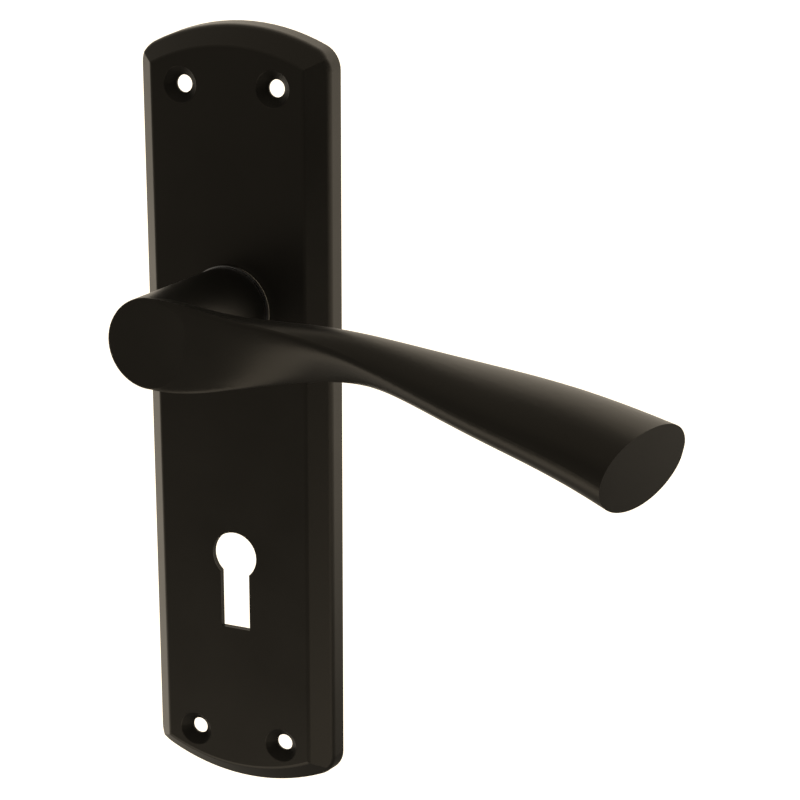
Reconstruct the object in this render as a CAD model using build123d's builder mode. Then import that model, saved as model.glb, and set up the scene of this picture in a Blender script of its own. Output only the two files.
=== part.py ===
from build123d import *
import os
from math import asin, atan, cos, degrees, hypot, pi, radians, sin, tan

# A sprung lever handle on a long backplate for a lever lock, outside, as fitted to a door.
#
# Frame: millimetres, +Z up, the origin on the spindle's axis in the plane of the door's face.
# The plate stands off the door along -Y and the lever's free end points along +X.
# Plane.XZ looks out of the door, so "height" below is the distance out from the door's face:
# a sketch at height h lies on Plane.XZ.offset(h), and extrudes away from the door.

# ---- driving dimensions ----------------------------------------------------------------

# backplate
keyhole_centres = 57.0        # spindle to keyhole, the British lever-lock standard
plate_width = 46.2
plate_top = 61.5              # above the spindle, to the top of the arched end
plate_bottom = -113.5         # below the spindle, to the bottom of the arched end
end_arc_radius = 46.5
plate_corner_radius = 5.7
plate_height = 8.3            # door face to front face
side_height = 4.3             # door face to the top of the side wall
side_draft = 6.0              # degrees that the side walls lean in
bevel_width = 4.4             # sloping border between the side wall and the front face
plate_wall = 1.4
side_wall = 1.5
rim_round = 2.2               # edge between the side wall and the bevel
face_round = 1.2              # edge between the bevel and the front face
rib_thickness = 1.4
rib_levels = (-37.0, -89.0)

# door fixings, one in each corner of the plate
fixing_spacing = 22.2
fixing_top = 48.2
fixing_bottom = -101.5
fixing_hole_radius = 1.9
countersink_radius = 4.0
fixing_pad_radius = 6.0
fixing_pad_depth = 2.6        # front face to the back of the pad

# keyhole
keyhole_radius = 5.5
keyslot_width = 7.2
keyslot_bottom = -74.5

# neck, spigot and spindle socket
neck_radius = 9.6
spigot_radius = 7.55
flat_distance = 6.2           # spindle axis to each flat of the spigot's tail
spindle_socket = 8.1          # square hole for an 8 mm spindle
socket_end = 32.0
running_clearance = 0.05      # radial, spigot in its two bushes
body_gap = 0.3                # between the lever's pieces and the plate's along the axis
spigot_end = 0.6
groove_radius = 6.9
grub_height = 21.0
grub_radius = 2.5
grub_key = 2.5                # across the flats of its hexagon socket
grub_inset = 0.6
grub_length = 4.6

# heights of the pieces threaded on the spigot, from the door face out
cover_back = 0.8
cover_front = 1.6
rear_flange_front = 2.1
cam_back = rear_flange_front + body_gap
cam_front = cam_back + 1.0
clip_back = cam_front + 0.1
clip_front = clip_back + 0.8
wave_back = clip_front + 0.02
wave_front = wave_back + 0.45
thrust_back = wave_front + body_gap
boss_back = 5.9
wall_back = plate_height - plate_wall
bush_flange = 0.6
slip_washer_thickness = 0.6
slip_washer_front = plate_height + bush_flange + slip_washer_thickness
neck_back = slip_washer_front + body_gap

# bushes, washers and cover
bush_radius = 8.8
bush_bore = spigot_radius + running_clearance
bush_flange_radius = 9.7
slip_washer_radius = 9.9
boss_radius = 11.4
thrust_radius = 10.8
wave_radius = 10.0
wave_inner_radius = 8.0
wave_thickness = 0.25
wave_count = 3
clip_radius = 9.4
clip_opening = 70.0           # degrees
rear_flange_radius = 10.2
rear_collar_radius = 9.0
cover_width = 36.0
cover_length = 48.0
cover_corner_radius = 4.0
cover_screw_x = 14.0
cover_screw_z = 20.0
cover_boss_radius = 3.2
cover_screw_radius = 1.5
cover_screw_head = 2.3
cover_screw_length = 4.4      # depth of its hole in the post
cover_screw_tip_gap = 0.4
cross_length = 2.6
cross_width = 0.6
cross_depth = 0.7

# cam, stops and spring; angles run anticlockwise from +X as seen from the front
lever_travel = 40.0           # degrees, downwards
cam_radius = 13.4
arm_radius = 17.2
arm_angle = 90.0
arm_half_angle = 14.0
pin_radius = 1.5
pin_circle = 16.0
pin_end = 2.0
pin_seat = 0.8                # depth of each pin's blind hole in the plate
lug_angle = 205.0
lug_half_angle = 3.5
lug_inner_radius = 14.0
lug_front = 6.2
wire_radius = 0.5
coil_radius = 12.5
coil_pitch = 1.02
coil_turns = 2                # whole turns, besides the part turn that meets the stop pin
leg_length = 9.0
spring_gap = 0.15

# lever
head_front = 43.0             # height of the head's flat front face
section_points = 13           # along each side of the section
head_edge_round = 0.5
front_flat_end = 2.5          # along X, where the flat front begins to fade into the blade
front_fade_radius = 80.0
tip_distance = 103.7          # middle of the end face: along X, up, and out from the door
tip_rise = -13.4
tip_height = 40.7
tip_slant = 18.0              # degrees that the end face turns towards the front
tip_lean = 15.0               # and down
# The blade's section turns from an upright D, its flat side out, to a flat oval. Each station
# gives its distance along X, its centre's rise and height, its half length and half thickness,
# how far its long axis has turned towards the front, and how much of the thickness lies in
# front of the section's widest line: almost none where it is a D, half where it is an oval.
stations = (
    (0.0, 0.0, 37.75, 9.5, 5.5, 0.0, 0.04),
    (9.0, -0.3, 37.75, 9.0, 5.45, 1.5, 0.05),
    (18.0, 0.1, 37.95, 7.7, 5.05, 8.0, 0.09),
    (36.0, 1.4, 38.3, 6.5, 4.6, 38.0, 0.24),
    (54.0, -0.4, 39.0, 8.2, 5.3, 72.0, 0.36),
    (72.0, -4.3, 39.8, 11.1, 6.7, 87.0, 0.42),
    (90.0, -8.8, 40.4, 12.4, 8.1, 94.0, 0.47),
    (112.0, -15.7, 41.0, 13.4, 9.3, 98.0, 0.5),
)


def at_angle(radius, angle):
    """The sketch point at this radius and angle about the spindle's axis."""
    return (radius * cos(radians(angle)), radius * sin(radians(angle)))


def ring(outer, inner, back, front):
    """A plain round washer on the spindle's axis."""
    with BuildPart() as washer:
        with BuildSketch(Plane.XZ.offset(back)):
            Circle(outer)
            Circle(inner, mode=Mode.SUBTRACT)
        extrude(amount=front - back)
    return washer


def contact_angle(radius, distance):
    """The angle that a sideways distance covers at this radius, with a little clearance."""
    return degrees(asin((distance + body_gap) / radius))


def sector(radius, middle, half_angle, mode=Mode.ADD):
    """A wedge from the spindle's axis out to radius, as a face in the current sketch."""
    start = at_angle(radius, middle - half_angle)
    finish = at_angle(radius, middle + half_angle)
    with BuildSketch(mode=Mode.PRIVATE) as wedge:
        with BuildLine():
            Line((0, 0), start)
            ThreePointArc(start, at_angle(radius, middle), finish)
            Line(finish, (0, 0))
        make_face()
    add(wedge.sketch, mode=mode)


# each stop stands clear of the arm's edge at its end of the travel
stop_offset = arm_half_angle + contact_angle(pin_circle, pin_radius)
stop_angles = (arm_angle + stop_offset, arm_angle - lever_travel - stop_offset)
stop_places = [at_angle(pin_circle, angle) for angle in stop_angles]

# ---- backplate -------------------------------------------------------------------------

bevel_slope = degrees(atan(bevel_width / (plate_height - side_height)))
bevel_outset = side_height * (tan(radians(bevel_slope)) - tan(radians(side_draft)))
bevel_wall = plate_wall / cos(radians(bevel_slope))
fixing_middle = (fixing_top + fixing_bottom) / 2
fixing_spacing_z = fixing_top - fixing_bottom


def plate_outline(inset, corner_radius=0.0):
    """The plate's arched outline, drawn in by inset, as a face in the current sketch."""
    half_width = plate_width / 2 - inset
    arc_radius = end_arc_radius - inset
    arc_drop = arc_radius - (arc_radius ** 2 - half_width ** 2) ** 0.5
    top, bottom = plate_top - inset, plate_bottom + inset
    left_top, right_top = (-half_width, top - arc_drop), (half_width, top - arc_drop)
    left_bottom, right_bottom = (-half_width, bottom + arc_drop), (half_width, bottom + arc_drop)
    with BuildSketch(mode=Mode.PRIVATE) as outline:
        with BuildLine():
            Line(left_bottom, left_top)
            ThreePointArc(left_top, (0, top), right_top)
            Line(right_top, right_bottom)
            ThreePointArc(right_bottom, (0, bottom), left_bottom)
        make_face()
        if corner_radius:
            fillet(outline.vertices(), corner_radius)
    add(outline.sketch)


def plate_form(side_inset, bevel_inset, height):
    """The plate's form up to this height: drafted sides with round corners, cut to a mitred bevel."""
    with BuildPart() as form:
        with BuildSketch(Plane.XZ):
            plate_outline(side_inset, plate_corner_radius - side_inset)
        extrude(amount=height, taper=side_draft)
        with BuildSketch(Plane.XZ):
            plate_outline(bevel_inset)
        extrude(amount=height, taper=bevel_slope, mode=Mode.INTERSECT)
    return form.part


def keyhole_outline():
    """The round top of the keyhole with its slot, as faces in the current sketch."""
    slot_length = -keyhole_centres - keyslot_bottom
    with Locations((0, -keyhole_centres)):
        Circle(keyhole_radius)
    with Locations((0, -keyhole_centres - slot_length / 2)):
        Rectangle(keyslot_width, slot_length)


with BuildPart() as backplate:
    # solid form, its rim rounded, then the edges of the front face and the mitres
    add(plate_form(0, -bevel_outset, plate_height))
    corner_rise = plate_corner_radius / 3
    rim_edges = backplate.edges().filter_by(
        lambda edge: side_height - 0.1 < -edge.center().Y < side_height + corner_rise
    )
    fillet(rim_edges, rim_round)
    front_face = backplate.faces().sort_by(Axis.Y)[0]
    fillet(front_face.edges(), face_round)

    # the hollow back, its walls parallel to the outside
    add(plate_form(side_wall, bevel_wall - bevel_outset, wall_back), mode=Mode.SUBTRACT)

    # boss round the neck's bore, pads behind the fixing holes, posts for the cover's screws
    with BuildSketch(Plane.XZ.offset(boss_back)):
        Circle(boss_radius)
    extrude(until=Until.NEXT)
    with BuildSketch(Plane.XZ.offset(plate_height - fixing_pad_depth)):
        with Locations((0, fixing_middle)):
            with GridLocations(fixing_spacing, fixing_spacing_z, 2, 2):
                Circle(fixing_pad_radius)
    extrude(until=Until.NEXT)
    with BuildSketch(Plane.XZ.offset(cover_front)):
        with GridLocations(2 * cover_screw_x, 2 * cover_screw_z, 2, 2):
            Circle(cover_boss_radius)
    extrude(until=Until.NEXT)

    # two stiffening ribs across the back
    with BuildSketch(Plane.XZ.offset(spigot_end)):
        for level in rib_levels:
            with Locations((0, level)):
                Rectangle(plate_width - 1.5 * side_wall, rib_thickness)
    extrude(until=Until.NEXT)

    # bore for the neck's bush, keyhole, fixing holes, blind holes for the screws and the pins
    with BuildSketch(Plane.XZ):
        Circle(bush_radius)
        keyhole_outline()
    extrude(amount=plate_height, mode=Mode.SUBTRACT)
    with Locations(Plane.XZ.offset(plate_height)):
        with Locations((0, fixing_middle)):
            with GridLocations(fixing_spacing, fixing_spacing_z, 2, 2):
                CounterSinkHole(fixing_hole_radius, countersink_radius, counter_sink_angle=90)
    with BuildSketch(Plane.XZ.offset(cover_front)):
        with GridLocations(2 * cover_screw_x, 2 * cover_screw_z, 2, 2):
            Circle(cover_screw_radius)
    extrude(amount=cover_screw_length, mode=Mode.SUBTRACT)
    with BuildSketch(Plane.XZ.offset(wall_back)):
        with Locations(*stop_places):
            Circle(pin_radius)
    extrude(amount=pin_seat, mode=Mode.SUBTRACT)

backplate.part.label = "backplate"

# ---- stop pins, pressed into the plate: the rest stop and the full-travel stop -----------

with BuildPart() as stop_pins:
    with BuildSketch(Plane.XZ.offset(pin_end)):
        with Locations(*stop_places):
            Circle(pin_radius)
    extrude(amount=wall_back + pin_seat - pin_end)
    chamfer(stop_pins.faces().sort_by(Axis.Y)[-2:].edges(), 0.3)

stop_pins.part.label = "stop_pins"

# ---- bushes and washers ------------------------------------------------------------------

with BuildPart() as neck_bush:
    with BuildSketch(Plane.XZ.offset(boss_back)):
        Circle(bush_radius)
        Circle(bush_bore, mode=Mode.SUBTRACT)
    extrude(amount=plate_height - boss_back)
    with BuildSketch(Plane.XZ.offset(plate_height)):
        Circle(bush_flange_radius)
        Circle(bush_bore, mode=Mode.SUBTRACT)
    extrude(amount=bush_flange)
neck_bush.part.label = "neck_bush"

slip_washer = ring(slip_washer_radius, bush_bore, slip_washer_front - slip_washer_thickness, slip_washer_front)
slip_washer.part.label = "slip_washer"

thrust_washer = ring(thrust_radius, bush_bore, thrust_back, boss_back)
thrust_washer.part.label = "thrust_washer"

with BuildPart() as rear_bush:
    with BuildSketch(Plane.XZ.offset(cover_back)):
        Circle(rear_collar_radius)
        Circle(bush_bore, mode=Mode.SUBTRACT)
    extrude(amount=cover_front - cover_back)
    with BuildSketch(Plane.XZ.offset(cover_front)):
        Circle(rear_flange_radius)
        Circle(bush_bore, mode=Mode.SUBTRACT)
    extrude(amount=rear_flange_front - cover_front)
rear_bush.part.label = "rear_bush"

# a flat ring bent into waves round the spigot: a slice of a wavy sheet between two circles
wave_rise = (wave_front - wave_back - wave_thickness) / 2
wave_middle = (wave_front + wave_back) / 2
wave_points = 8 * wave_count


def wave_edge(radius, height):
    """A closed wavy curve round the spindle's axis."""
    points = []
    for step in range(wave_points):
        angle = 2 * pi * step / wave_points
        rise = height + wave_rise * cos(wave_count * angle)
        points.append((radius * cos(angle), -rise, radius * sin(angle)))
    return Spline(*points, periodic=True)


def wavy_face(height):
    """The wavy surface between the washer's inner and outer edges."""
    return Face.make_surface_from_curves(wave_edge(wave_inner_radius, height), wave_edge(wave_radius, height))


wave_bottom = wavy_face(wave_middle - wave_thickness / 2)
with BuildPart() as wave_washer:
    extrude(wave_bottom, amount=wave_thickness, dir=(0, -1, 0))
wave_washer.part.label = "wave_washer"

# the retaining ring, open at the bottom, in the spigot's groove
with BuildPart() as circlip:
    with BuildSketch(Plane.XZ.offset(clip_back)):
        Circle(clip_radius)
        Circle(groove_radius, mode=Mode.SUBTRACT)
        sector(2 * clip_radius, -90, clip_opening / 2, Mode.SUBTRACT)
    extrude(amount=clip_front - clip_back)
    fillet(circlip.edges().filter_by(Axis.Y).group_by(Axis.Z)[0], 0.6)
circlip.part.label = "circlip"

# ---- drive cam: keyed on the spigot's flats, with the stop arm and the spring's lug --------

with BuildPart() as drive_cam:
    with BuildSketch(Plane.XZ.offset(cam_back)):
        Circle(cam_radius)
        sector(arm_radius, arm_angle, arm_half_angle)
        sector(arm_radius, lug_angle, lug_half_angle)
        with BuildSketch(mode=Mode.PRIVATE) as key:
            Circle(spigot_radius)
            Rectangle(2 * spigot_radius, 2 * flat_distance, mode=Mode.INTERSECT)
        add(key.sketch, mode=Mode.SUBTRACT)
    extrude(amount=cam_front - cam_back)
    with BuildSketch(Plane.XZ.offset(cam_front)):
        sector(arm_radius, lug_angle, lug_half_angle)
        Circle(lug_inner_radius, mode=Mode.SUBTRACT)
    extrude(amount=lug_front - cam_front)
drive_cam.part.label = "drive_cam"

# ---- return spring -----------------------------------------------------------------------

# the wire is wound from the leg on the cam's lug, clockwise and outwards from the door, to the
# leg that bears on the full-travel stop pin
leg_sweep = degrees(atan(leg_length / coil_radius))
leg_reach = hypot(leg_length, coil_radius)
moving_end = lug_angle - lug_half_angle - contact_angle(leg_reach, wire_radius) - leg_sweep
fixed_end = stop_angles[1] + contact_angle(leg_reach, pin_radius + wire_radius) + leg_sweep
coil_angle = 360 * coil_turns + moving_end - fixed_end
coil_start = cam_front + spring_gap + wire_radius
coil_rise = coil_pitch * coil_angle / 360

# drawn about +Z with the moving end on +X, then turned to face out of the door
spring_plane = Plane(
    origin=(0, 0, 0),
    x_dir=(cos(radians(moving_end)), 0, sin(radians(moving_end))),
    z_dir=(0, -1, 0),
)
fixed_point = Vector(coil_radius, 0, coil_start + coil_rise).rotate(Axis.Z, -coil_angle)
fixed_direction = Vector(0, -1, 0).rotate(Axis.Z, -coil_angle)
with BuildPart() as spring_wire:
    with BuildLine():
        Helix(coil_pitch, coil_rise, coil_radius, center=(0, 0, coil_start), lefthand=True)
    with BuildSketch(Plane(origin=(coil_radius, 0, coil_start), z_dir=(0, -1, 0))):
        Circle(wire_radius)
    sweep(is_frenet=True)
    for end, direction in (
        (Vector(coil_radius, 0, coil_start), Vector(0, 1, 0)),
        (fixed_point, fixed_direction),
    ):
        with BuildSketch(Plane(origin=end, z_dir=direction)):
            Circle(wire_radius)
        extrude(amount=leg_length)

with BuildPart() as return_spring:
    add(spring_plane.location * spring_wire.part)
return_spring.part.label = "return_spring"

# ---- cover over the spring, and its screws -------------------------------------------------

with BuildPart() as spring_cover:
    with BuildSketch(Plane.XZ.offset(cover_back)):
        RectangleRounded(cover_width, cover_length, cover_corner_radius)
        Circle(rear_collar_radius, mode=Mode.SUBTRACT)
    extrude(amount=cover_front - cover_back)
    with Locations(-Plane.XZ.offset(cover_back)):
        with GridLocations(2 * cover_screw_x, 2 * cover_screw_z, 2, 2):
            CounterSinkHole(cover_screw_radius, cover_screw_head, counter_sink_angle=90)
spring_cover.part.label = "spring_cover"

with BuildPart() as cover_screws:
    with BuildSketch(Plane.XZ.offset(cover_back)):
        with GridLocations(2 * cover_screw_x, 2 * cover_screw_z, 2, 2):
            Circle(cover_screw_head)
    extrude(amount=cover_screw_head - cover_screw_radius, taper=45)
    with BuildSketch(Plane.XZ.offset(cover_front)):
        with GridLocations(2 * cover_screw_x, 2 * cover_screw_z, 2, 2):
            Circle(cover_screw_radius)
    extrude(amount=cover_screw_length - cover_screw_tip_gap)
    with BuildSketch(Plane.XZ.offset(cover_back)):
        with GridLocations(2 * cover_screw_x, 2 * cover_screw_z, 2, 2):
            Rectangle(cross_length, cross_width)
            Rectangle(cross_width, cross_length)
    extrude(amount=cross_depth, mode=Mode.SUBTRACT)
cover_screws.part.label = "cover_screws"

# ---- lever ---------------------------------------------------------------------------------


def blade_section(half_length, half_thickness, turn, front_share):
    """The blade's outline, as (up, out from the door): a front and a back half oval end to end."""
    front = 2 * half_thickness * front_share
    back = 2 * half_thickness - front
    long_axis = Vector(cos(radians(turn)), sin(radians(turn)))
    short_axis = Vector(-sin(radians(turn)), cos(radians(turn)))
    widest = short_axis * (half_thickness - front)
    for depth, first, last in ((front, 0, 180), (-back, 180, 0)):
        points = []
        for step in range(section_points):
            angle = radians(first + (last - first) * step / (section_points - 1))
            points.append(widest + long_axis * half_length * cos(angle) + short_axis * depth * sin(angle))
        Spline(*points)


fade_length = 2 * neck_radius
fade_rise = front_fade_radius - (front_fade_radius ** 2 - fade_length ** 2) ** 0.5
fade_end = (front_flat_end + fade_length, -head_front - fade_rise)
tip_normal = Vector(1, -tan(radians(tip_slant)), -tan(radians(tip_lean)))
tip_plane = Plane(origin=(tip_distance, -tip_height, tip_rise), z_dir=tip_normal)
key_plane = Plane(origin=(0, -grub_height, -neck_radius), z_dir=(0, 0, 1))

# the twisted blade, lofted through its stations and cut to the slanting end face
with BuildPart() as blade:
    for distance, rise, height, half_length, half_thickness, turn, front_share in stations:
        with BuildSketch(Plane(origin=(distance, -height, rise), x_dir=(0, 0, 1), z_dir=(1, 0, 0))):
            with BuildLine():
                blade_section(half_length, half_thickness, turn, front_share)
            make_face()
    loft()
    split(bisect_by=tip_plane, keep=Keep.BOTTOM)

    # planed flush with the head, the flat fading out along the blade
    with BuildSketch(Plane.XY):
        with BuildLine():
            flat_front = Line((-2 * neck_radius, -head_front), (front_flat_end, -head_front))
            fade = TangentArc(flat_front @ 1, fade_end, tangent=flat_front % 1)
            Polyline(fade @ 1, (fade_end[0], -2 * head_front), (-2 * neck_radius, -2 * head_front), flat_front @ 0)
        make_face()
    extrude(amount=2 * neck_radius, both=True, mode=Mode.SUBTRACT)

with BuildPart() as lever:
    # the round neck, its front the flat of the head, and the spigot behind it
    with BuildSketch(Plane.XZ.offset(neck_back)):
        Circle(neck_radius)
    extrude(amount=head_front - neck_back)
    fillet(lever.faces().sort_by(Axis.Y)[0].edges(), head_edge_round)
    with BuildSketch(Plane.XZ.offset(spigot_end)):
        Circle(spigot_radius)
    extrude(amount=neck_back - spigot_end)

    add(blade.part)

    # groove for the circlip, flats for the cam, square socket, tapped hole for the grub screw
    with BuildSketch(Plane.XZ.offset(clip_back)):
        Circle(spigot_radius)
        Circle(groove_radius, mode=Mode.SUBTRACT)
    extrude(amount=clip_front - clip_back, mode=Mode.SUBTRACT)
    with BuildSketch(Plane.XZ.offset(spigot_end)):
        Circle(spigot_radius)
        Rectangle(2 * spigot_radius, 2 * flat_distance, mode=Mode.SUBTRACT)
    extrude(amount=clip_back - spigot_end, mode=Mode.SUBTRACT)
    with BuildSketch(Plane.XZ.offset(spigot_end)):
        Rectangle(spindle_socket, spindle_socket)
    extrude(amount=socket_end - spigot_end, mode=Mode.SUBTRACT)
    with BuildSketch(key_plane):
        Circle(grub_radius)
    extrude(amount=neck_radius - spindle_socket / 2, mode=Mode.SUBTRACT)
lever.part.label = "lever"

with BuildPart() as grub_screw:
    with BuildSketch(key_plane.offset(grub_inset)):
        Circle(grub_radius)
    extrude(amount=grub_length)
    with BuildSketch(key_plane.offset(grub_inset)):
        RegularPolygon(grub_key / 2, 6, major_radius=False)
    extrude(amount=grub_length / 2, mode=Mode.SUBTRACT)
grub_screw.part.label = "grub_screw"

# ---- one STEP file for each piece ------------------------------------------------------------

pieces = (
    backplate,
    lever,
    slip_washer,
    neck_bush,
    thrust_washer,
    wave_washer,
    circlip,
    drive_cam,
    return_spring,
    stop_pins,
    rear_bush,
    spring_cover,
    cover_screws,
    grub_screw,
)
os.makedirs("parts", exist_ok=True)
for piece in pieces:
    export_step(piece.part, f"parts/{piece.part.label}.step")
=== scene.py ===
import math

import bpy
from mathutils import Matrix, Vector


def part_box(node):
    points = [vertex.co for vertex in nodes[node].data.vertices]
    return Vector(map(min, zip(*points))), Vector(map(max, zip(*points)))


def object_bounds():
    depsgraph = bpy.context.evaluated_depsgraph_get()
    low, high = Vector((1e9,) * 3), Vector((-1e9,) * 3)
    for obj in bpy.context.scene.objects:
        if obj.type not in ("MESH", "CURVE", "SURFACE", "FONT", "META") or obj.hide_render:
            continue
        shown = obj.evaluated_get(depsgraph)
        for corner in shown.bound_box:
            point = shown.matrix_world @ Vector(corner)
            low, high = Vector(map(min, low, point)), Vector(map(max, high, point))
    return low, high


# Looks for a sprung lever handle on a long lock backplate. Metres, in the CAD's frame:
# the origin on the spindle's axis at the door's face, +Z up, the lever along +X, the user at -Y.

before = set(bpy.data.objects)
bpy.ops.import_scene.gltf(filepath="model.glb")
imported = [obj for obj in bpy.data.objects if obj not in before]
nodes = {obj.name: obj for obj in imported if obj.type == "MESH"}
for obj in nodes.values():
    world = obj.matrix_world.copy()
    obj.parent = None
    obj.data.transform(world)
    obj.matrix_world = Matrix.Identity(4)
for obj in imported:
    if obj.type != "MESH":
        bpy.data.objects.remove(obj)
cad_low, cad_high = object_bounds()
MM = 0.001
WAVE_RATE = 20.0              # radians to the metre in a wave texture, at a scale of 1
RING_WANDER = 0.6             # how far turning marks stray from true rings
NOISE_ROUGHNESS = 0.55        # how strong the finer octaves of a noise are


# ---- node helpers ----------------------------------------------------------------------


class NodeTree:
    """A node tree, with short calls that add nodes and join them."""

    def __init__(self, tree):
        self.tree = tree

    def add(self, kind, settings=(), **inputs):
        """A new node, with its settings and the values of its inputs."""
        node = self.tree.nodes.new(kind)
        for key, value in dict(settings).items():
            setattr(node, key, value)
        for key, value in inputs.items():
            node.inputs[key.replace("_", " ")].default_value = value
        return node

    def join(self, source, target):
        self.tree.links.new(source, target)

    def feed(self, value, target):
        """Set an input to a number, or join another node's output to it."""
        if isinstance(value, float):
            target.default_value = value
        else:
            self.join(value, target)

    def axes(self, vector):
        """The X, Y and Z of a vector, such as a texture coordinate."""
        split = self.add("ShaderNodeSeparateXYZ")
        self.join(vector, split.inputs["Vector"])
        return split.outputs

    def math(self, operation, first, second):
        """One operation on two values, each a number or another node's output."""
        node = self.add("ShaderNodeMath", {"operation": operation})
        self.feed(first, node.inputs[0])
        self.feed(second, node.inputs[1])
        return node.outputs["Value"]

    def mix(self, factor, first, second):
        """A value between first and second, each a number or another node's output."""
        mix = self.add("ShaderNodeMix", {"data_type": "FLOAT"})
        self.feed(factor, mix.inputs["Factor"])
        self.feed(first, mix.inputs["A"])
        self.feed(second, mix.inputs["B"])
        return mix.outputs["Result"]

    def spread(self, source, low, high, source_low=0.3, source_high=0.7, interpolation="LINEAR"):
        """The source's range spread over low to high."""
        stretch = self.add("ShaderNodeMapRange", {"interpolation_type": interpolation})
        stretch.inputs["From Min"].default_value = source_low
        stretch.inputs["From Max"].default_value = source_high
        stretch.inputs["To Min"].default_value = low
        stretch.inputs["To Max"].default_value = high
        self.join(source, stretch.inputs["Value"])
        return stretch.outputs["Result"]


class Surface(NodeTree):
    """A material made of the object's own coordinates, noise and one Principled shader."""

    def __init__(self, name):
        self.material = bpy.data.materials.new(name)
        self.material.use_nodes = True
        super().__init__(self.material.node_tree)
        self.shader = self.tree.nodes["Principled BSDF"]

    def place(self, stretch=(1.0, 1.0, 1.0)):
        """The object's own coordinates in metres, stretched along each axis."""
        where = self.add("ShaderNodeTexCoord")
        scale = self.add("ShaderNodeMapping", Scale=stretch)
        self.join(where.outputs["Object"], scale.inputs["Vector"])
        return scale.outputs["Vector"]

    def noise(self, scale, detail=4.0, stretch=(1.0, 1.0, 1.0)):
        """Cloudy noise with this many cells to the metre."""
        noise = self.add("ShaderNodeTexNoise", Scale=scale, Detail=detail, Roughness=NOISE_ROUGHNESS)
        self.join(self.place(stretch), noise.inputs["Vector"])
        return noise.outputs["Fac"]

    def cells(self, scale):
        """Patches of random value with crisp borders, as on zinc crystals."""
        cells = self.add("ShaderNodeTexVoronoi", Scale=scale)
        self.join(self.place(), cells.inputs["Vector"])
        split = self.add("ShaderNodeSeparateColor")
        self.join(cells.outputs["Color"], split.inputs["Color"])
        return split.outputs["Red"]

    def rings(self, pitch):
        """Turning marks: fine rings round the spindle's axis, this far apart."""
        wave = self.add("ShaderNodeTexWave", {"wave_type": "RINGS", "rings_direction": "Y"})
        wave.inputs["Scale"].default_value = math.tau / (WAVE_RATE * pitch)
        wave.inputs["Distortion"].default_value = RING_WANDER
        self.join(self.place(), wave.inputs["Vector"])
        return wave.outputs["Fac"]

    def within(self, low, high):
        """1 inside the box between these corners of the object's space, and 0 outside."""
        where = self.axes(self.place())
        inside = 1.0
        for axis, least, most in zip("XYZ", low, high):
            above = self.math("GREATER_THAN", where[axis], least)
            below = self.math("LESS_THAN", where[axis], most)
            inside = self.math("MULTIPLY", inside, self.math("MULTIPLY", above, below))
        return inside

    def colour(self, source, first, second):
        """Base colour between first and second as the source's range runs."""
        mix = self.add("ShaderNodeMix", {"data_type": "RGBA"})
        self.join(self.spread(source, 0.0, 1.0), mix.inputs["Factor"])
        mix.inputs["A"].default_value = (*first, 1.0)
        mix.inputs["B"].default_value = (*second, 1.0)
        self.join(mix.outputs["Result"], self.shader.inputs["Base Color"])

    def roughness(self, source, low, high):
        self.join(self.spread(source, low, high), self.shader.inputs["Roughness"])

    def bump(self, *layers):
        """Relief from (height, depth in metres) layers, laid one on another."""
        normal = None
        for height, depth in layers:
            bump = self.add("ShaderNodeBump", Distance=depth)
            self.join(height, bump.inputs["Height"])
            if normal is not None:
                self.join(normal, bump.inputs["Normal"])
            normal = bump.outputs["Normal"]
        self.join(normal, self.shader.inputs["Normal"])

    def set(self, **values):
        for key, value in values.items():
            self.shader.inputs[key.replace("_", " ")].default_value = value


# ---- materials, one for each slot of the record -------------------------------------------


plate_low, plate_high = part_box("backplate")
HOLE_BORDER = 7.9 * MM        # from the plate's outline to just short of the fixing holes
COAT_DEPTH = 0.12 * MM        # below the front face, where the rougher inside with its painted shade begins
COAT_ROUGHNESS = (0.32, 0.38)
INSIDE_ROUGHNESS = 0.50
COAT_SHEEN = 0.5
# a lower specular level inside the holes and behind the plate: painted shade
SHADED_INSIDE_SHEEN = 0.32


def black_finish():
    """Satin black coating with a warm sheen, faintly cloudy, over a finely grained casting."""
    coat = Surface("black_finish")
    cloud = coat.noise(45.0, 3.0)
    orange_peel = coat.noise(900.0, 2.0)
    grain = coat.noise(5200.0, 2.0)
    # inside the holes and behind the plate the coating is rougher and dull, and its lower specular
    # level there is painted shade in these hollows
    inside = coat.within(
        plate_low + Vector((HOLE_BORDER, COAT_DEPTH, HOLE_BORDER)),
        plate_high + Vector((-HOLE_BORDER, COAT_DEPTH, -HOLE_BORDER)),
    )
    coat.colour(cloud, (0.0070, 0.0071, 0.0068), (0.0098, 0.0100, 0.0096))
    polish = coat.spread(cloud, *COAT_ROUGHNESS)
    coat.join(coat.mix(inside, polish, INSIDE_ROUGHNESS), coat.shader.inputs["Roughness"])
    # the lower specular level inside the holes and behind the plate is painted shade
    sheen = coat.mix(inside, COAT_SHEEN, SHADED_INSIDE_SHEEN)
    coat.join(sheen, coat.shader.inputs["Specular IOR Level"])
    coat.set(IOR=1.5, Specular_Tint=(1.0, 0.94, 0.84, 1.0))
    coat.bump((orange_peel, 1.5e-6), (grain, 1.0e-6))
    return coat.material


def plated_steel():
    """Bright plating over turned steel, with fine rings and a few dull patches."""
    steel = Surface("plated_steel")
    bloom = steel.noise(260.0, 4.0)
    steel.colour(bloom, (0.46, 0.48, 0.53), (0.60, 0.61, 0.64))
    steel.roughness(bloom, 0.20, 0.34)
    steel.set(Metallic=1.0)
    steel.bump((steel.rings(0.12 * MM), 4.0e-6))
    return steel.material


def spring_steel():
    """Oiled spring steel: dark, with drawn streaks and straw-coloured heat tint."""
    steel = Surface("spring_steel")
    tint = steel.noise(320.0, 3.0)
    streak = steel.noise(1500.0, 3.0, stretch=(1.0, 0.15, 1.0))
    steel.colour(tint, (0.17, 0.17, 0.19), (0.30, 0.27, 0.23))
    steel.roughness(streak, 0.24, 0.42)
    steel.set(Metallic=1.0)
    steel.bump((streak, 6.0e-6))
    return steel.material


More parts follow.
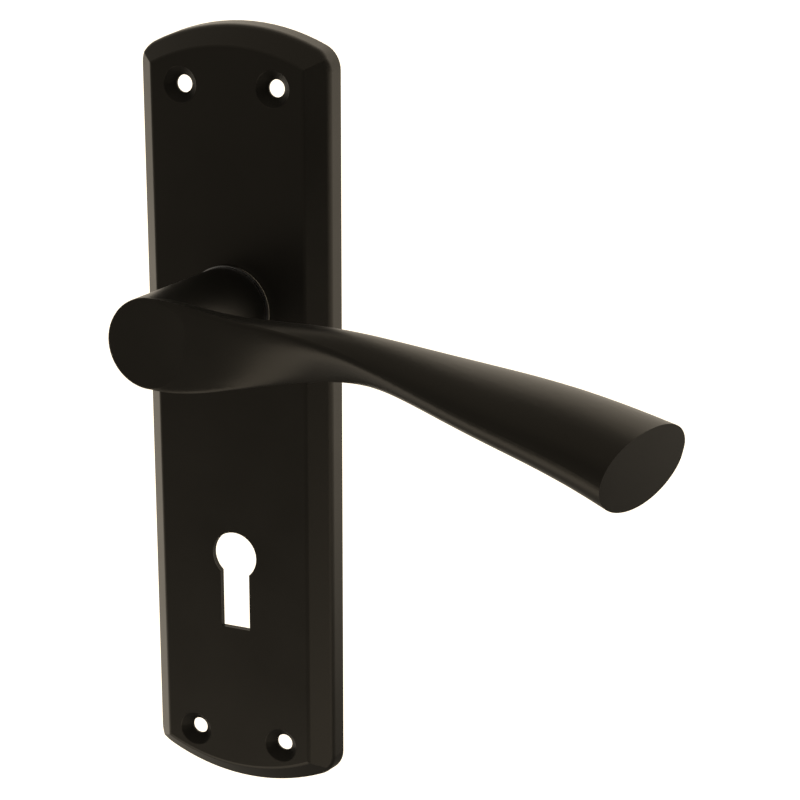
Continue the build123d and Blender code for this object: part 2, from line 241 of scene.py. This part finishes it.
def zinc_steel():
    """Zinc-plated pressed steel: crystal patches, rolling streaks and a slight yellow."""
    zinc = Surface("zinc_steel")
    crystals = zinc.cells(420.0)
    rolled = zinc.noise(700.0, 4.0, stretch=(0.06, 1.0, 1.0))
    zinc.colour(crystals, (0.50, 0.50, 0.47), (0.62, 0.62, 0.60))
    zinc.roughness(crystals, 0.34, 0.50)
    zinc.set(Metallic=1.0)
    zinc.bump((rolled, 8.0e-6), (crystals, 2.0e-6))
    return zinc.material


def black_steel():
    """Blackened steel with worn brown-grey patches."""
    steel = Surface("black_steel")
    wear = steel.noise(900.0, 5.0)
    steel.colour(wear, (0.018, 0.017, 0.017), (0.050, 0.044, 0.038))
    steel.roughness(wear, 0.38, 0.58)
    steel.set(Metallic=0.6)
    steel.bump((wear, 8.0e-6))
    return steel.material


def nylon():
    """Natural nylon: milky, slightly mottled, with a fine moulded grain."""
    plastic = Surface("nylon")
    mottle = plastic.noise(300.0, 3.0)
    grain = plastic.noise(4000.0, 2.0)
    plastic.colour(mottle, (0.60, 0.58, 0.50), (0.70, 0.68, 0.61))
    plastic.roughness(mottle, 0.42, 0.55)
    plastic.set(IOR=1.53)
    plastic.bump((grain, 4.0e-6))
    return plastic.material


finishes = {
    "black_finish": black_finish(),
    "plated_steel": plated_steel(),
    "spring_steel": spring_steel(),
    "zinc_steel": zinc_steel(),
    "black_steel": black_steel(),
    "nylon": nylon(),
}

node_slots = {
    "black_finish": ("backplate", "lever"),
    "plated_steel": ("slip_washer", "thrust_washer", "stop_pins"),
    "spring_steel": ("wave_washer", "circlip", "return_spring"),
    "zinc_steel": ("drive_cam", "spring_cover", "cover_screws"),
    "black_steel": ("grub_screw",),
    "nylon": ("neck_bush", "rear_bush"),
}

# Faces that meet at more than this angle keep a crisp edge between them.
CREASE_ANGLE = math.radians(24.0)
# The lever's edges that are sharper than this are rounded by a little.
ROUNDED_ANGLE = math.radians(40.0)
EDGE_ROUNDING = 0.35 * MM


def dress(node, material):
    """Give a CAD node its material, and shading that is smooth except at its creases."""
    node.data.materials.clear()
    node.data.materials.append(material)
    for polygon in node.data.polygons:
        polygon.use_smooth = True
    crease = node.modifiers.new("crease", "EDGE_SPLIT")
    crease.split_angle = CREASE_ANGLE


def soften_edges(node):
    """A small rounding on a node's crisp edges, so that they catch the light."""
    rounding = node.modifiers.new("rounding", "BEVEL")
    rounding.width = EDGE_ROUNDING
    rounding.segments = 3
    rounding.limit_method = "ANGLE"
    rounding.angle_limit = ROUNDED_ANGLE


soften_edges(nodes["lever"])
for slot_name, names in node_slots.items():
    for name in names:
        dress(nodes[name], finishes[slot_name])

# ---- stage: floor and studio light ----------------------------------------------------------

FLOOR_DROP = 0.25             # below the plate
FLOOR_FRONT = -0.38           # the floor ends here, so that the darker room shows in front
FLOOR_REACH = 6.0
FLOOR_SHADE = (0.35, -0.05)   # the middle of a shaded patch, to the right of the object
SHADE_INNER = 0.35            # the patch's dark middle
SHADE_OUTER = 0.95            # where it ends
SHADE_GLOW = 0.10
FLOOR_GLOW = 1.05
FRONT_LIGHT_GLOW = 1.00       # the strip of floor in front, lit from below as by a light table
FRONT_LIGHT_TURN = (0.03, -0.17)

SEEN_STRENGTH = 1.60          # enough for the picture's ground to come out white
LIGHT_TINT = (1.0, 0.89, 0.73, 1.0)

WORLD_FRONT = 0.19            # the room in front
WORLD_RIGHT_SHADE = 0.07      # taken off on the right
RIGHT_TURN = (0.10, 0.80)     # along X
WORLD_BACK = 1.06             # the white backdrop
WORLD_TURN = (0.15, 0.85)     # where one gives way to the other, along Y
WORLD_CEILING = 0.12          # added overhead
CEILING_TURN = (0.20, 0.90)   # along Z


class Light(NodeTree):
    """The node tree of a world or of a glowing surface."""

    def where(self, output):
        """The X, Y and Z of one of the texture coordinates."""
        return self.axes(self.add("ShaderNodeTexCoord").outputs[output])

    def ramp(self, source, turn, first, last):
        """first before the turn and last after it, changing smoothly along the turn."""
        if turn[0] > turn[1]:
            turn = turn[::-1]
            first, last = last, first
        return self.spread(source, first, last, *turn, interpolation="SMOOTHSTEP")

    def seen_white(self, strength):
        """This strength for the object's light and reflections, and white for the picture's ground."""
        path = self.add("ShaderNodeLightPath")
        seen = self.math("MULTIPLY", path.outputs["Is Camera Ray"], SEEN_STRENGTH)
        return self.math("MAXIMUM", strength, seen)


def make_floor():
    """A plain pale floor below the object, with a shaded patch and a bright strip in front."""
    level = cad_low.z - FLOOR_DROP
    corners = [
        (-FLOOR_REACH, FLOOR_FRONT, level),
        (FLOOR_REACH, FLOOR_FRONT, level),
        (FLOOR_REACH, FLOOR_REACH, level),
        (-FLOOR_REACH, FLOOR_REACH, level),
    ]
    mesh = bpy.data.meshes.new("floor")
    mesh.from_pydata(corners, [], [(0, 1, 2, 3)])
    floor = bpy.data.objects.new("floor", mesh)
    bpy.context.scene.collection.objects.link(floor)
    material = bpy.data.materials.new("floor_white")
    material.use_nodes = True
    mesh.materials.append(material)
    light = Light(material.node_tree)
    where = light.where("Object")
    across = light.math("SUBTRACT", where["X"], FLOOR_SHADE[0])
    along = light.math("SUBTRACT", where["Y"], FLOOR_SHADE[1])
    distance_squared = light.math(
        "ADD",
        light.math("MULTIPLY", across, across),
        light.math("MULTIPLY", along, along),
    )
    shade_turn = (SHADE_INNER ** 2, SHADE_OUTER ** 2)
    ground = light.ramp(distance_squared, shade_turn, SHADE_GLOW, FLOOR_GLOW)
    strip = light.ramp(where["Y"], FRONT_LIGHT_TURN, 0.0, FRONT_LIGHT_GLOW)
    glow = light.seen_white(light.math("MAXIMUM", ground, strip))
    emission = light.add("ShaderNodeEmission", Color=LIGHT_TINT)
    light.join(glow, emission.inputs["Strength"])
    light.join(emission.outputs["Emission"], light.tree.nodes["Material Output"].inputs["Surface"])


def make_world():
    """Soft light: a white backdrop, a darker room in front and a pale ceiling."""
    world = bpy.data.worlds.new("studio")
    bpy.context.scene.world = world
    world.use_nodes = True
    light = Light(world.node_tree)
    where = light.where("Generated")
    backdrop = light.ramp(where["Y"], WORLD_TURN, WORLD_FRONT, WORLD_BACK)
    ceiling = light.ramp(where["Z"], CEILING_TURN, 0.0, WORLD_CEILING)
    shade = light.ramp(where["X"], RIGHT_TURN, 0.0, WORLD_RIGHT_SHADE)
    room = light.math("SUBTRACT", light.math("ADD", backdrop, ceiling), shade)
    background = light.tree.nodes["Background"].inputs
    light.join(light.seen_white(room), background["Strength"])
    background["Color"].default_value = LIGHT_TINT


make_floor()
make_world()
bpy.context.scene.view_settings.view_transform = "Standard"

# ---- camera -------------------------------------------------------------------------------

CAMERA_AZIMUTH = math.radians(24.53)
CAMERA_ELEVATION = math.radians(15.59)
CAMERA_DISTANCE = 0.4245
CAMERA_AIM = Vector((0.0336, -0.0083, -0.0166))
CAMERA_LENS = 89.54           # millimetres, on a sensor 36 mm wide
SENSOR_WIDTH = 36.0
CAMERA_SHIFT = 0.0375
CAMERA_NEAR = 0.01
CAMERA_FAR = 20.0

camera_data = bpy.data.cameras.new("camera")
camera = bpy.data.objects.new("camera", camera_data)
bpy.context.scene.collection.objects.link(camera)
bpy.context.scene.camera = camera
outward = Vector((
    math.sin(CAMERA_AZIMUTH) * math.cos(CAMERA_ELEVATION),
    -math.cos(CAMERA_AZIMUTH) * math.cos(CAMERA_ELEVATION),
    math.sin(CAMERA_ELEVATION),
))
camera.location = CAMERA_AIM + outward * CAMERA_DISTANCE
camera.rotation_mode = "QUATERNION"
camera.rotation_quaternion = (-outward).to_track_quat("-Z", "Y")
camera_data.sensor_width = SENSOR_WIDTH
camera_data.lens = CAMERA_LENS
camera_data.shift_x = CAMERA_SHIFT
camera_data.clip_start = CAMERA_NEAR
camera_data.clip_end = CAMERA_FAR
